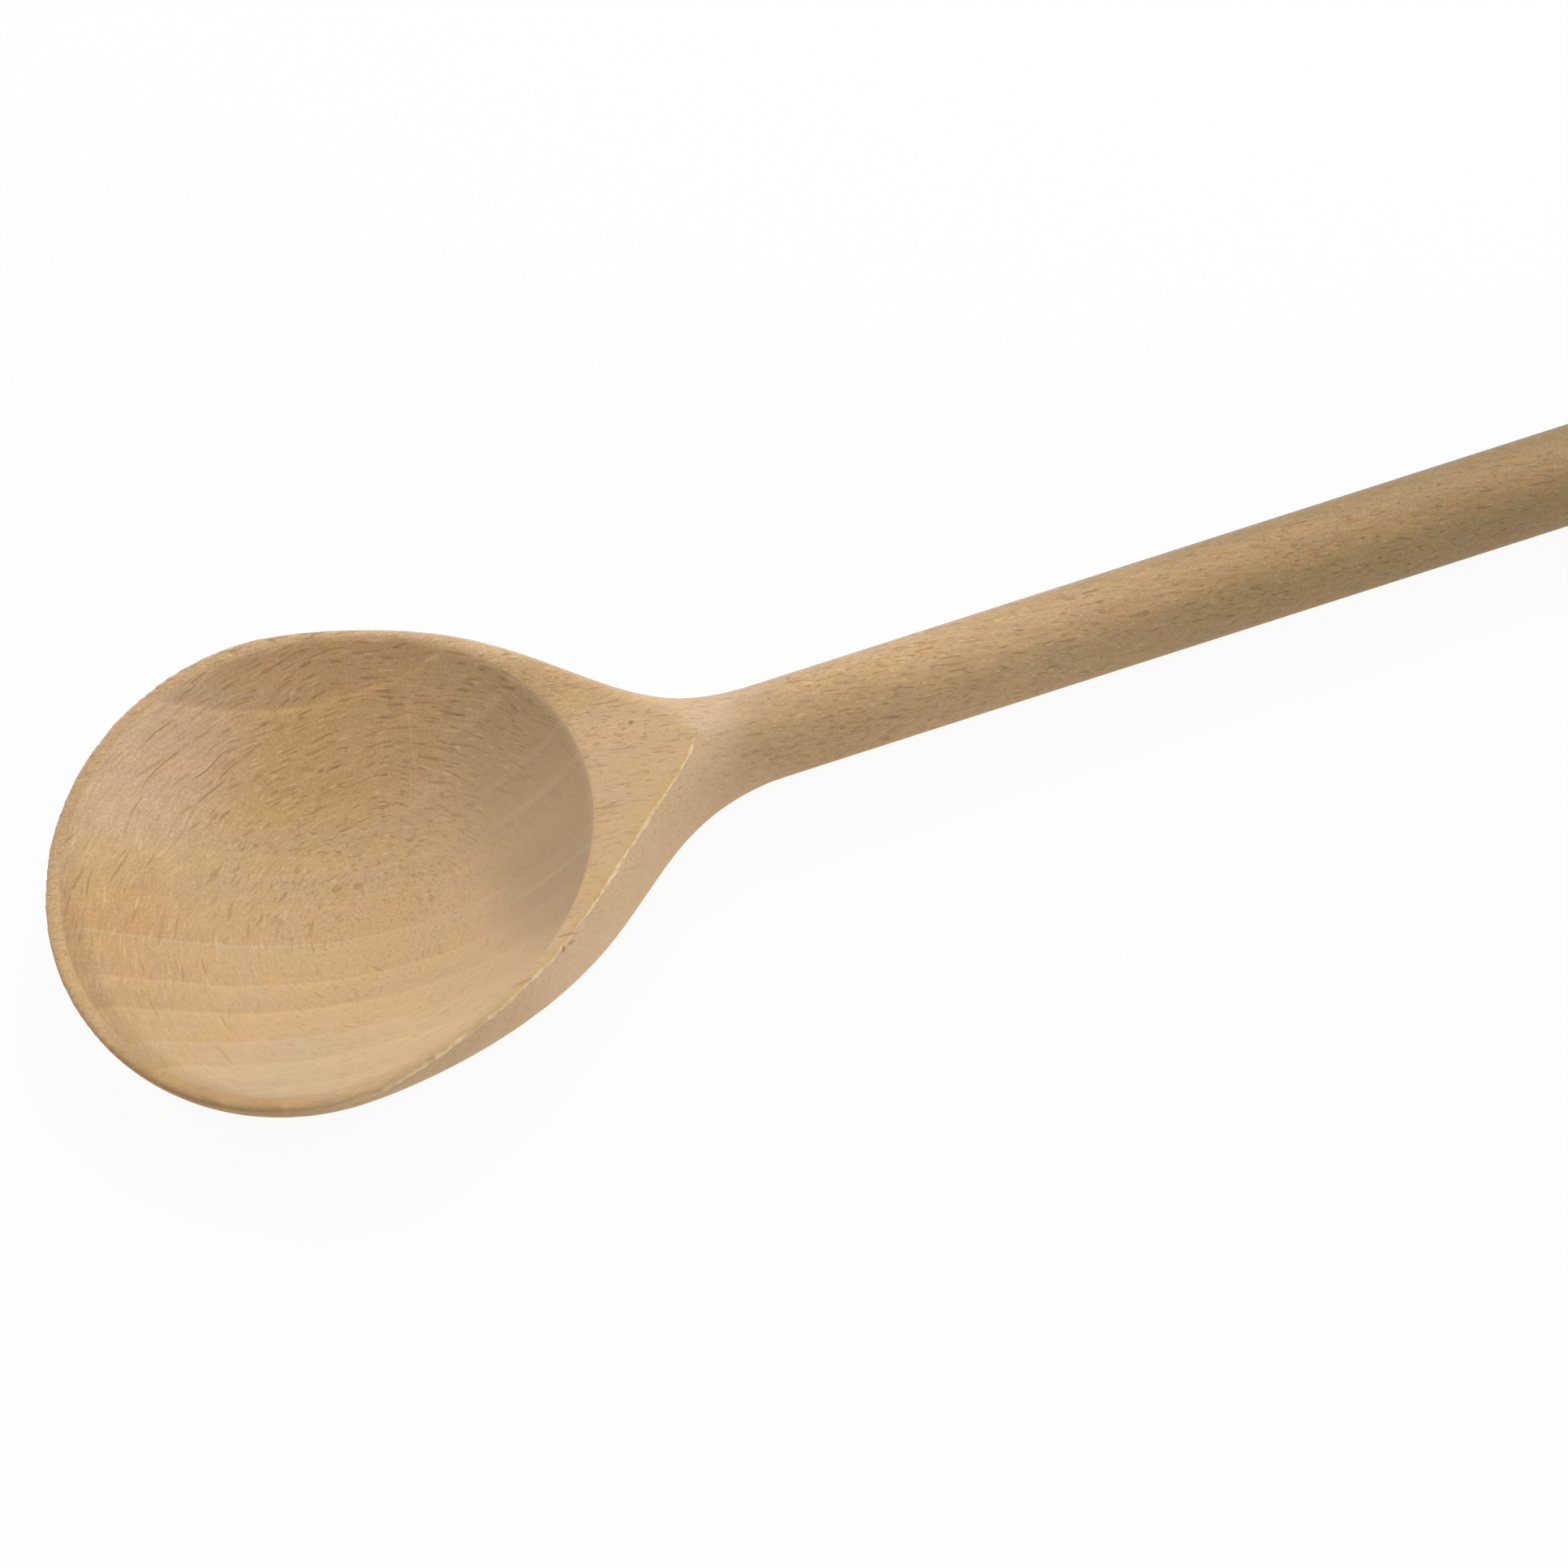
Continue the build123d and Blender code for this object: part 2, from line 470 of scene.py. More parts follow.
def mark_regions(piece, sizes):
    """Writes on each point its distance, in millimetres, from the hollow's edge and the outer edge.

    Both are negative inside the hollow or on the flat top face, and positive outside it."""
    places, normals = surface_facts(piece)
    origin = np.array(rim_origin(sizes))
    along = np.array((cos(sizes.head_lean), 0, sin(sizes.head_lean)))
    up = np.array((-sin(sizes.head_lean), 0, cos(sizes.head_lean)))
    x, y, z = (places - origin) @ along, places[:, 1], (places - origin) @ up
    side_reach, neck_reach = hollow_reaches(sizes)
    reach = np.where(x > 0, neck_reach, side_reach)
    round_share = np.sqrt((x / reach) ** 2 + (y / side_reach) ** 2)
    slope = np.sqrt((x / reach**2) ** 2 + (y / side_reach**2) ** 2)
    slope = slope / np.maximum(round_share, MIDDLE_SHARE)
    facing_up = normals @ up > 0
    hollow_gap = np.where(facing_up, (round_share - 1) / slope, UNDERSIDE_GAP)
    reaches, half_widths = outer_edge(sizes)
    gap = np.abs(y) - np.interp(x, reaches, half_widths, left=0, right=0)
    inside = facing_up & (gap < 0) & (x > reaches[0]) & (x < reaches[-1])
    edge_gap = np.where(inside, gap, np.hypot(np.maximum(gap, 0), np.minimum(z, 0)))
    for name, values in (("hollow_gap", hollow_gap), ("edge_gap", edge_gap)):
        attribute = piece.data.attributes.new(name, "FLOAT", "POINT")
        gaps = (values * MM_PER_METRE).clip(-GAP_LIMIT, GAP_LIMIT)
        attribute.data.foreach_set("value", gaps.astype(np.float32))


class Recipe:
    """Adds nodes to a material's tree and links them."""

    def __init__(self, tree):
        self.tree = tree
        tree.nodes.clear()

    def add(self, kind, settings=None, **inputs):
        """A new node. Inputs go by name, with _ for a space, or by number, such as n0."""
        node = self.tree.nodes.new(kind)
        for name, value in (settings or {}).items():
            setattr(node, name, value)
        for name, value in inputs.items():
            key = int(name[1:]) if name[0] == "n" and name[1:].isdigit() else name.replace("_", " ")
            self.feed(node.inputs[key], value)
        return node

    def feed(self, socket, value):
        if isinstance(value, bpy.types.NodeSocket):
            self.tree.links.new(value, socket)
        else:
            socket.default_value = value

    def math(self, operation, a, b=0.0, c=0.0, clamp=False):
        settings = {"operation": operation, "use_clamp": clamp}
        return self.add("ShaderNodeMath", settings, n0=a, n1=b, n2=c).outputs[0]

    def product(self, first, *others):
        """The first value multiplied by all the others."""
        for other in others:
            first = self.math("MULTIPLY", first, other)
        return first

    def rest(self, share):
        """What a share leaves of one."""
        return self.math("SUBTRACT", 1.0, share)

    def dot(self, vector, direction):
        settings = {"operation": "DOT_PRODUCT"}
        node = self.add("ShaderNodeVectorMath", settings, n0=vector, n1=direction)
        return node.outputs["Value"]

    def join(self, x, y, z):
        return self.add("ShaderNodeCombineXYZ", X=x, Y=y, Z=z).outputs[0]

    def noise(self, vector, scale, detail, roughness):
        node = self.add(
            "ShaderNodeTexNoise", Vector=vector, Scale=scale, Detail=detail, Roughness=roughness
        )
        return node.outputs[0]

    def between(self, value, low, high, out_low=0.0, out_high=1.0):
        """Value mapped smoothly from the range low to high."""
        node = self.add(
            "ShaderNodeMapRange", {"interpolation_type": "SMOOTHSTEP"},
            n0=value, n1=low, n2=high, n3=out_low, n4=out_high,
        )
        return node.outputs[0]

    def mix(self, factor, a, b, blend="MIX"):
        settings = {"data_type": "RGBA", "blend_type": blend}
        return self.add("ShaderNodeMix", settings, n0=factor, n6=a, n7=b).outputs[2]

    def attribute(self, name):
        return self.add("ShaderNodeAttribute", {"attribute_name": name}).outputs["Fac"]

    def ramp(self, value, value_range, stops):
        """Colour ramp over a range of values, from stops placed as shares of the range."""
        low, high = value_range
        share = self.add("ShaderNodeMapRange", n0=value, n1=low, n2=high).outputs[0]
        node = self.add("ShaderNodeValToRGB", n0=share)
        elements = node.color_ramp.elements
        while len(elements) < len(stops):
            elements.new(0.5)
        for element, (place, shade) in zip(elements, stops):
            element.position = place
            element.color = (*shade, 1.0)
        return node.outputs[0]


# Growth rings that the head's surfaces cut: where each lies across the block, in millimetres, and
# the wood's shade on its low side, on the thin line itself and on its high side. Each shade is
# full at its distance from the line.
RING_RANGE = (-75.0, 5.0)
RING_SHADE_GAPS = (-0.3, 0.0, 0.22)
RINGS = (
    (-64.0, (1.01, 1.0, 0.98), (1.06, 1.06, 1.05), (0.97, 0.94, 0.90)),
    (-58.8, (1.04, 1.04, 1.02), (1.10, 1.11, 1.10), (0.97, 0.94, 0.89)),
    (-54.2, (1.04, 1.04, 1.02), (1.12, 1.13, 1.13), (0.96, 0.91, 0.86)),
    (-48.9, (1.04, 1.05, 1.02), (1.13, 1.15, 1.16), (0.97, 0.92, 0.87)),
    (-44.1, (1.02, 1.03, 1.0), (1.11, 1.12, 1.13), (0.97, 0.93, 0.88)),
    (-37.4, (1.01, 1.02, 1.0), (1.17, 1.20, 1.24), (0.97, 0.92, 0.88)),
    (-27.0, (1.0, 0.99, 0.96), (0.99, 0.98, 0.95), (0.98, 0.97, 0.93)),
    (-17.0, (0.96, 0.92, 0.84), (0.96, 0.92, 0.84), (0.96, 0.92, 0.84)),
    (-9.9, (1.02, 1.0, 0.94), (1.16, 1.17, 1.14), (0.88, 0.865, 0.86)),
)

# Thin light lines of rings on the hollow's neck side, and how they fade away from the line
NECK_LINES = (-16.1, -23.2, -28.0, -40.2)
NECK_LINE_FADE = (0.2, 0.7)
NECK_LINE_SHARE = 0.11

# The handle's shades towards its end, over a range along it in millimetres
HANDLE_TONE_RANGE = (-70.0, 70.0)
HANDLE_TONES = (
    (0.03, (1.0, 1.0, 1.0)),
    (0.17, (0.96, 0.94, 0.88)),
    (0.32, (0.92, 0.91, 0.87)),
    (0.51, (0.76, 0.74, 0.65)),
    (0.69, (0.67, 0.66, 0.57)),
    (0.85, (0.61, 0.60, 0.52)),
)
# Painted shade on the handle's flanks and on its far side
FLANK_PAINTED_SHADE = (0.86, 0.91, 0.94)
FAR_FLANK_PAINTED_SHADE = (0.86, 0.89, 0.92)
# Painted light on the flat top face, lightest on its near side
TOP_FACE_PAINTED_LIGHT = (1.07, 1.10, 1.13)

# Directions in the block: along the fibres, across them, and through the growth rings' layers,
# which wander by some millimetres. The grain shows more towards the far side and the tip, along a
# slant.
FIBRES_RUN = (0.981, -0.196, 0.0)
ACROSS_FIBRES = (0.196, 0.981, 0.0)
THROUGH_RINGS = (0.2, 1.0, -0.95)
RING_WANDER = 0.9
FAR_OR_TIP_SLANT = -0.25

# The level round which every pattern swings
PATTERN_MIDDLE = 0.5

# Patterns without a direction: cells in a millimetre, detail and roughness
CLOUDS = {
    "ring_wander": (0.09, 2.0, 0.5),
    "dash_wander": (0.11, 1.0, 0.5),
    "mottle": (0.22, 3.0, 0.6),
    "speckle": (3.2, 2.0, 0.6),
    "rub_wander": (0.5, 3.0, 0.6),
    "rub_width": (0.4, 2.0, 0.5),
    "rub_breaks": (0.9, 3.0, 0.7),
}

# Patterns that follow the fibres: cells in a millimetre along and across, seed, detail, roughness
FIBRE_PATTERNS = {
    "fibres": (0.16, 1.6, 0.0, 3.0, 0.6),
    "blush": (0.16, 0.36, 9.0, 3.0, 0.62),
}

# The broad rings: cells in a millimetre through the layers and along the spoon, detail, roughness
BROAD_RINGS = (0.33, 0.006, 3.0, 0.6)

# Soft steps: what each is measured on, the two values between which it changes, and what it is
# before and after them. Places and gaps are in millimetres.
STEPS = {
    "hollow": ("hollow_gap", -0.12, 0.12, 1.0, 0.0),
    "top_face": ("edge_gap", -0.1, 0.1, 1.0, 0.0),
    "handle": ("x", -66.0, -40.0, 0.0, 1.0),
    "warmth": ("mottle", 0.36, 0.64, 0.0, 1.0),
    "pinkness": ("blush", 0.46, 0.62, 0.0, 0.42),
    "greyness": ("broad_rings", 0.44, 0.60, 0.0, 0.35),
    "ring_colour": ("x", -112.0, -92.0, 1.0, 0.6),
    "neck_side": ("x", -97.0, -90.0, 0.0, 1.0),
    # Where painted shade darkens the handle: its flanks and its far side, along part of it
    "flanks": ("off_axis", 1.6, 4.2, 0.0, 1.0),
    "flank_reach": ("x", -60.0, -5.0, 0.0, 1.0),
    "far_flank": ("y", 0.0, 3.6, 0.0, 1.0),
    "far_flank_reach": ("x", -45.0, 30.0, 0.0, 1.0),
    # Where painted light pales the hollow: by the tip's far side and up the near wall
    "tip_end": ("x", -138.0, -118.0, 1.0, 0.0),
    "tip_far_side": ("y", 2.0, 14.0, 0.0, 1.0),
    "near_wall": ("y", -26.0, -14.0, 1.0, 0.0),
    # Painted shade, with greyer wood, on the hollow's wall by the neck
    "neck_grey_and_shade": ("x", -116.0, -88.0, 0.0, 0.30),
    # Where the painted light on the top face fades, towards its far side
    "top_near_side": ("y", 6.0, 16.0, 1.0, 0.2),
    "far_or_tip_grain": ("far_or_tip", -2.0, 46.0, 0.45, 1.6),
    "smooth_neck_end": ("x", -106.0, -88.0, 0.0, 0.75),
    "smooth_near_side": ("y", -4.0, 14.0, 1.0, 0.0),
    "handle_grain": ("x", -70.0, -50.0, 0.0, 0.75),
    "handle_end_grain": ("x", -35.0, 20.0, 0.0, 0.5),
    "off_tip": ("x", -134.0, -112.0, 0.35, 1.0),
    "before_handle_end": ("x", -45.0, 10.0, 1.0, 0.35),
    "near_side": ("y", -1.0, 0.5, 1.0, 0.0),
    # Where the pale rubbed line, partly a painted highlight, runs along the near edge
    "rub_start": ("x", -124.0, -112.0, 0.0, 1.0),
    "rub_end": ("x", -66.0, -64.5, 1.0, 0.0),
    "rub_line_width": ("rub_width", 0.35, 0.65, 0.16, 0.55),
    "rub_line_breaks": ("rub_breaks", 0.38, 0.58, 0.25, 0.95),
    "inside_edge": ("edge_gap", -1.6, -0.1, 0.0, 0.5),
    "up_to_edge": ("edge_gap", 0.0, 0.3, 1.0, 0.0),
    "marked": ("edge_gap", 0.8, 1.3, 1.0, 0.0),
    "dullness": ("fibres", 0.3, 0.7, 0.56, 0.68),
}

# Shares of tones: paler sides, less so on the handle, painted light that pales the hollow's walls,
# and the rings' tones outside the hollow and how much more inside it
SIDE_PALENESS = 0.7
HANDLE_SIDE_LOSS = 0.7
WALL_PAINTED_LIGHT = 0.26
RING_SHARE = 0.25
RING_HOLLOW_GAIN = 0.7

# How much the grain varies the wood: fibres on the head and more on the handle, speckle at least
# and more where the grain shows, and more flecks on the flat top face
FIBRE_SWING = 0.18
FIBRE_HANDLE_GAIN = 0.30
SPECKLE_SWING = 0.10
SPECKLE_GRAIN_GAIN = 0.24
TOP_FACE_GRAIN = 0.18

# The rays' dashes circle a point inside the hollow: its plan position, how the circles are
# squeezed along the spoon, how they wander, the flat core at their middle, and how far out the
# dashes have their true length, in millimetres
SWIRL_X, SWIRL_Y = -111.0, -9.0
SWIRL_SQUEEZE = 0.92
SWIRL_WANDER = 3.0
SWIRL_CORE = 2.0
SWIRL_TRUE_REACH = 17.0

# Dashes in the grain: typical length and width in millimetres, the noise levels where they come
# in and where they are full, seed, detail, the step that thins them, colour and share
DASHES = {
    "streaks": (1.6, 0.34, 0.30, 0.70, 23.0, 2.0, None, "fleck", 0.13),
    "short_flecks": (1.5, 0.38, 0.66, 0.74, 37.0, 0.0, "off_tip", "fleck", 0.32),
    "long_flecks": (3.4, 0.46, 0.74, 0.81, 11.0, 0.0, None, "fleck", 0.38),
    "dark_flecks": (1.2, 0.32, 0.69, 0.77, 71.0, 0.0, "off_tip", "pit", 0.28),
    "handle_flecks": (3.2, 0.42, 0.70, 0.78, 91.0, 0.0, "handle", "pit", 0.30),
    "pale_flecks": (1.2, 0.36, 0.68, 0.80, 53.0, 0.0, "before_handle_end", "pale_wood_and_sheen", 0.22),
}
DASH_ROUGHNESS = 0.5

# The pale line on the rubbed near edge, worn wood and partly a painted highlight: how far outside
# the edge it runs, in millimetres, how it wanders, and how it fades over its half width
RUB_PLACE = 0.45
RUB_WANDER = 0.8
RUB_FADE = (0.3, 1.0)

# The feel of the surface: heights of the fibres and speckle, depth of the flecks, strength and
# depth in metres of the whole relief, and how much the wood shines
FIBRE_HEIGHT = 0.4
SPECKLE_HEIGHT = 0.4
FLECK_DEPTH = 0.3
RELIEF_STRENGTH = 0.25
RELIEF_DEPTH = 0.0001
SHINE = 0.3

# Broad soft patches of tone, some of them painted light and some painted shade: plan position of
# the middle, half sizes along and across in millimetres, shade, and whether they lie inside the
# hollow
PATCH_FADE = (0.1, 1.3)
PATCHES = (
    # Painted light on the hollow's far wall by the tip
    (-132.0, 22.0, 15.0, 11.0, (1.03, 1.05, 1.20), True),
    (-143.0, 6.0, 11.0, 9.0, (0.985, 0.935, 0.86), True),
    (-142.0, -6.0, 11.0, 8.0, (0.96, 0.94, 0.92), True),
    (-108.0, 16.0, 17.0, 9.0, (0.99, 0.95, 0.87), True),
    (-104.0, 25.0, 16.0, 5.0, (1.05, 1.01, 0.93), True),
    # Painted shade on the hollow's wall by the neck, here and in the next row
    (-85.0, -2.0, 13.0, 22.0, (0.86, 0.87, 0.91), True),
    (-88.0, -14.0, 10.0, 9.0, (0.90, 0.90, 0.93), True),
    (-129.0, -25.0, 18.0, 6.0, (0.93, 0.96, 1.0), True),
    (-79.0, 12.5, 12.0, 6.5, (0.90, 0.88, 0.81), False),
    # Partly paler wood, partly painted light on the near side by the neck
    (-88.0, -23.5, 12.0, 5.0, (1.06, 1.08, 1.14), False),
    # Painted light on the tip's end
    (-148.0, 0.0, 5.0, 14.0, (1.12, 1.08, 1.02), False),
    (-135.0, -22.0, 18.0, 14.0, (0.96, 0.90, 0.80), False),
    (-52.0, -1.0, 10.0, 8.0, (0.95, 0.94, 0.88), False),
    (-63.5, 1.5, 4.5, 3.0, (1.05, 1.07, 1.14), False),
    (-48.0, 4.0, 20.0, 2.2, (1.0, 1.05, 1.15), False),
)

# Single marks: plan position of the middle, half length and half width in millimetres, turn in
# degrees, colour and strength
MARK_FADE = (0.3, 1.5)
MARKS = (
    (-128.3, 5.2, 1.9, 0.24, 39.0, "fleck", 0.50),
    (-122.7, 9.5, 0.9, 0.22, 15.0, "fleck", 0.45),
    (-125.4, 5.2, 0.7, 0.24, 25.0, "fleck", 0.45),
    (-127.6, 0.0, 1.4, 0.24, 66.0, "fleck", 0.38),
    (-126.2, -3.4, 1.4, 0.20, 70.0, "fleck", 0.36),
    (-118.7, -5.2, 1.3, 0.24, 66.0, "fleck", 0.42),
    (-119.2, -7.9, 1.0, 0.18, 87.0, "fleck", 0.28),
    (-136.3, -0.5, 1.8, 0.20, 67.0, "fleck", 0.28),
    (-134.4, -0.5, 1.9, 0.20, 66.0, "fleck", 0.32),
    (-130.3, -2.6, 1.4, 0.18, 70.0, "fleck", 0.26),
    (-122.9, -4.5, 1.2, 0.20, 70.0, "fleck", 0.28),
    (-86.6, 14.1, 1.2, 0.22, -38.0, "pit", 0.40),
    (-91.2, 16.9, 0.9, 0.20, -38.0, "pit", 0.32),
    (-88.5, 17.5, 1.0, 0.18, -39.0, "pit", 0.28),
    (-94.5, 14.8, 1.5, 0.16, -33.0, "pit", 0.36),
    (-88.2, 3.3, 1.0, 0.20, -55.0, "fleck", 0.34),
    (-91.1, 3.0, 1.1, 0.20, -50.0, "fleck", 0.32),
    (-95.6, 10.7, 0.8, 0.18, -35.0, "pit", 0.26),
    (-114.3, -1.0, 0.75, 0.50, 17.0, "fleck", 0.44),
    (-111.7, -1.5, 0.75, 0.50, 22.0, "fleck", 0.44),
    (-88.6, -20.3, 1.3, 0.14, -3.0, "fleck", 0.50),
    (-89.6, -21.8, 0.42, 0.15, 50.0, "pit", 0.62),
    (-88.4, -21.2, 0.5, 0.14, 23.0, "pit", 0.50),
    (-66.8, -0.7, 0.8, 0.20, 23.0, "pit", 0.26),
    (-95.6, -24.4, 1.4, 0.15, 9.0, "fleck", 0.42),
    (-83.8, -16.8, 0.7, 0.14, 31.0, "fleck", 0.34),
    (-73.5, 3.8, 0.3, 0.3, 0.0, "pit", 0.60),
    (-60.8, 0.7, 0.8, 0.2, 17.0, "pit", 0.34),
    (-100.0, 14.0, 4.9, 0.12, -101.0, "pale_wood_and_sheen", 0.13),
    (-146.3, 5.8, 1.7, 0.20, 62.0, "fleck", 0.40),
    (-144.1, 8.8, 2.0, 0.20, 47.0, "fleck", 0.40),
    (-138.9, 9.1, 2.9, 0.20, 45.0, "fleck", 0.40),
    (-135.1, 9.0, 1.1, 0.20, 43.0, "fleck", 0.40),
    (-131.5, 20.5, 2.0, 0.20, 19.0, "fleck", 0.40),
    (-129.1, 14.3, 1.1, 0.20, 22.0, "fleck", 0.40),
    (-128.5, 12.1, 0.9, 0.20, 21.0, "fleck", 0.40),
    (-122.6, 15.6, 0.9, 0.20, 7.0, "fleck", 0.40),
    (-126.0, 12.6, 0.6, 0.20, 24.0, "fleck", 0.40),
    (-143.8, 14.3, 1.0, 0.20, 27.0, "fleck", 0.40),
    (-124.4, 22.6, 1.2, 0.20, 6.0, "fleck", 0.40),
    (-138.8, 2.5, 1.5, 0.20, 55.0, "fleck", 0.40),
    (-112.2, -13.7, 0.9, 0.20, -46.0, "fleck", 0.40),
)


def ring_stops():
    """Colour ramp stops for the growth rings: three shades for each, across its thin line."""
    low, high = RING_RANGE
    stops = []
    for place, *shades in RINGS:
        for gap, shade in zip(RING_SHADE_GAPS, shades):
            stops.append(((place + gap - low) / (high - low), shade))
    return stops


class BeechRecipe(Recipe):
    """Untreated beech as a solid block, laid on in layers from plain wood to single marks."""

    def __init__(self, tree, finish):
        super().__init__(tree)
        self.finish = finish
        self.colour = finish["wood_warm"]
        coordinates = self.add("ShaderNodeTexCoord").outputs["Object"]
        in_millimetres = self.add(
            "ShaderNodeVectorMath", {"operation": "SCALE"}, n0=coordinates, Scale=MM_PER_METRE
        )
        self.place = in_millimetres.outputs[0]
        self.x, self.y, self.z = self.add("ShaderNodeSeparateXYZ", Vector=self.place).outputs
        self.fibre_line = self.dot(self.place, FIBRES_RUN)
        self.across = self.dot(self.place, ACROSS_FIBRES)
        self.measures = {
            "x": self.x,
            "y": self.y,
            "off_axis": self.math("ABSOLUTE", self.y),
            "far_or_tip": self.math("MULTIPLY_ADD", self.x, FAR_OR_TIP_SLANT, self.y),
            "hollow_gap": self.attribute("hollow_gap"),
            "edge_gap": self.attribute("edge_gap"),
        }
        self.measure_patterns()
        self.hollow = self.step("hollow")
        self.outside = self.rest(self.hollow)
        self.top_face = self.step("top_face")
        self.handle = self.step("handle")
        self.circle_swirl()
        self.grain = self.grain_strength()

    def measure_patterns(self):
        """Adds the patterns and the growth rings to what steps are measured on."""
        for name, (scale, detail, roughness) in CLOUDS.items():
            self.measures[name] = self.noise(self.place, scale, detail, roughness)
        for name, (along, across, seed, detail, roughness) in FIBRE_PATTERNS.items():
            vector = self.fibre_vector(along, across, seed)
            self.measures[name] = self.noise(vector, 1.0, detail, roughness)
        layer = self.dot(self.place, THROUGH_RINGS)
        wander = self.math("SUBTRACT", self.measures["ring_wander"], PATTERN_MIDDLE)
        self.ring_line = self.math("MULTIPLY_ADD", wander, RING_WANDER, layer)
        through, along, detail, roughness = BROAD_RINGS
        vector = self.join(self.product(self.ring_line, through), 0.0, self.product(self.x, along))
        self.measures["broad_rings"] = self.noise(vector, 1.0, detail, roughness)

    def step(self, *names):
        """The product of soft steps."""
        steps = []
        for name in names:
            measure, *levels = STEPS[name]
            steps.append(self.between(self.measures[measure], *levels))
        return self.product(*steps)

    def glaze(self, share, colour):
        """Covers a share of the wood with one of the finish's colours."""
        self.colour = self.mix(share, self.colour, self.finish[colour])

    def tint(self, share, shade):
        """Multiplies a share of the wood by a shade."""
        shade = (*shade, 1.0) if isinstance(shade, tuple) else shade
        self.colour = self.mix(share, self.colour, shade, "MULTIPLY")

    def vary(self, pattern, swing):
        """Lightens and darkens the wood by a pattern."""
        level = self.math("SUBTRACT", self.measures[pattern], PATTERN_MIDDLE)
        shade = self.math("ADD", self.product(level, swing), 1.0)
        self.tint(1.0, self.join(shade, shade, shade))

    def fibre_vector(self, along, across, seed):
        """Pattern coordinates that follow the fibres, from the cells in a millimetre."""
        return self.join(
            self.product(self.fibre_line, along),
            self.product(self.across, across),
            self.math("MULTIPLY_ADD", self.z, across, seed),
        )

    def circle_swirl(self):
        """Works out the way round the swirl in the hollow, and how far out a place is."""
        x = self.product(self.math("ADD", self.x, -SWIRL_X), SWIRL_SQUEEZE)
        y = self.math("ADD", self.y, -SWIRL_Y)
        squares = self.math("MULTIPLY_ADD", x, x, self.math("MULTIPLY_ADD", y, y, SWIRL_CORE))
        reach = self.math("SQRT", squares)
        self.turn_x, self.turn_y = self.math("DIVIDE", x, reach), self.math("DIVIDE", y, reach)
        self.swirl_reach = self.math(
            "MULTIPLY_ADD", self.measures["dash_wander"], SWIRL_WANDER, reach
        )

    def swirl_vector(self, around, outwards, seed):
        """Pattern coordinates that circle the swirl in the hollow."""
        return self.join(
            self.product(self.turn_x, around),
            self.product(self.turn_y, around),
            self.math("MULTIPLY_ADD", self.swirl_reach, outwards, seed),
        )

    def grain_strength(self):
        """How strongly the dashes show: most on the far side and the handle."""
        smooth = self.product(self.step("smooth_neck_end", "smooth_near_side"), self.hollow)
        strength = self.product(self.step("far_or_tip_grain"), self.rest(smooth))
        strength = self.math("ADD", strength, self.step("handle_grain"))
        strength = self.math("ADD", strength, self.step("handle_end_grain"))
        top_face = self.product(self.top_face, self.outside)
        return self.math("MULTIPLY_ADD", top_face, TOP_FACE_GRAIN, strength)

    def dashes(self, length, width, low, high, seed, detail):
        """Dashes that circle the swirl inside the hollow and follow the fibres elsewhere."""
        straight = self.fibre_vector(1 / length, 1 / width, seed)
        round_swirl = self.swirl_vector(SWIRL_TRUE_REACH / length, 1 / width, seed)
        vector = self.add(
            "ShaderNodeMix", {"data_type": "VECTOR"}, n0=self.hollow, n4=straight, n5=round_swirl
        )
        pattern = self.noise(vector.outputs[1], 1.0, detail, DASH_ROUGHNESS)
        return self.product(self.between(pattern, low, high), self.grain)

    def oval(self, middle_x, middle_y, half_length, half_width, turn=0.0):
        """Square of the distance from a plan position, as a share of an oval's half sizes."""
        lean = radians(turn)
        squares = 0.0
        for along_x, along_y, half in (
            (cos(lean), sin(lean), half_length),
            (-sin(lean), cos(lean), half_width),
        ):
            middle = (middle_x * along_x + middle_y * along_y) / half
            reach = self.dot(self.place, (along_x / half, along_y / half, 0.0))
            share = self.math("SUBTRACT", reach, middle)
            squares = self.math("MULTIPLY_ADD", share, share, squares)
        return squares

    def lay_plain_wood(self):
        """Warm and plain wood, with pinker patches, paler sides and greyer rings."""
        self.glaze(self.step("warmth"), "wood")
        self.glaze(self.step("pinkness"), "wood_blush")
        off_handle = self.rest(self.product(self.handle, HANDLE_SIDE_LOSS))
        side = self.product(self.rest(self.top_face), off_handle, SIDE_PALENESS)
        self.glaze(side, "wood_pink")
        self.glaze(self.step("greyness"), "grey_wood_and_shade")

    def lay_rings(self):
        """The tones of the growth rings, strongest in the hollow."""
        share = self.math("MULTIPLY_ADD", self.hollow, RING_HOLLOW_GAIN, RING_SHARE)
        share = self.product(share, self.step("ring_colour"))
        self.tint(share, self.ramp(self.ring_line, RING_RANGE, ring_stops()))

    def lay_handle_tones(self):
        """The handle's tone darkens towards its end, and painted shade darkens its flanks and its
        far side more.
        """
        self.tint(1.0, self.ramp(self.x, HANDLE_TONE_RANGE, HANDLE_TONES))
        # Painted shade on the handle's flanks and far side
        self.tint(self.step("flanks", "flank_reach"), FLANK_PAINTED_SHADE)
        self.tint(self.step("far_flank", "far_flank_reach"), FAR_FLANK_PAINTED_SHADE)

    def lay_local_tones(self):
        """Painted light by the tip, up the near wall and on the top face; greyer by the neck,
        partly painted shade.
        """
        # Painted light: the hollow's tip end and near wall are paled with a whiter sheen
        pale = self.math("MAXIMUM", self.step("tip_end", "tip_far_side"), self.step("near_wall"))
        self.glaze(self.product(pale, self.hollow, WALL_PAINTED_LIGHT), "pale_wood_and_sheen")
        # Painted shade, with greyer wood, on the hollow's wall by the neck, which faces away from
        # the lamps
        self.glaze(self.product(self.step("neck_grey_and_shade"), self.hollow), "grey_wood_and_shade")
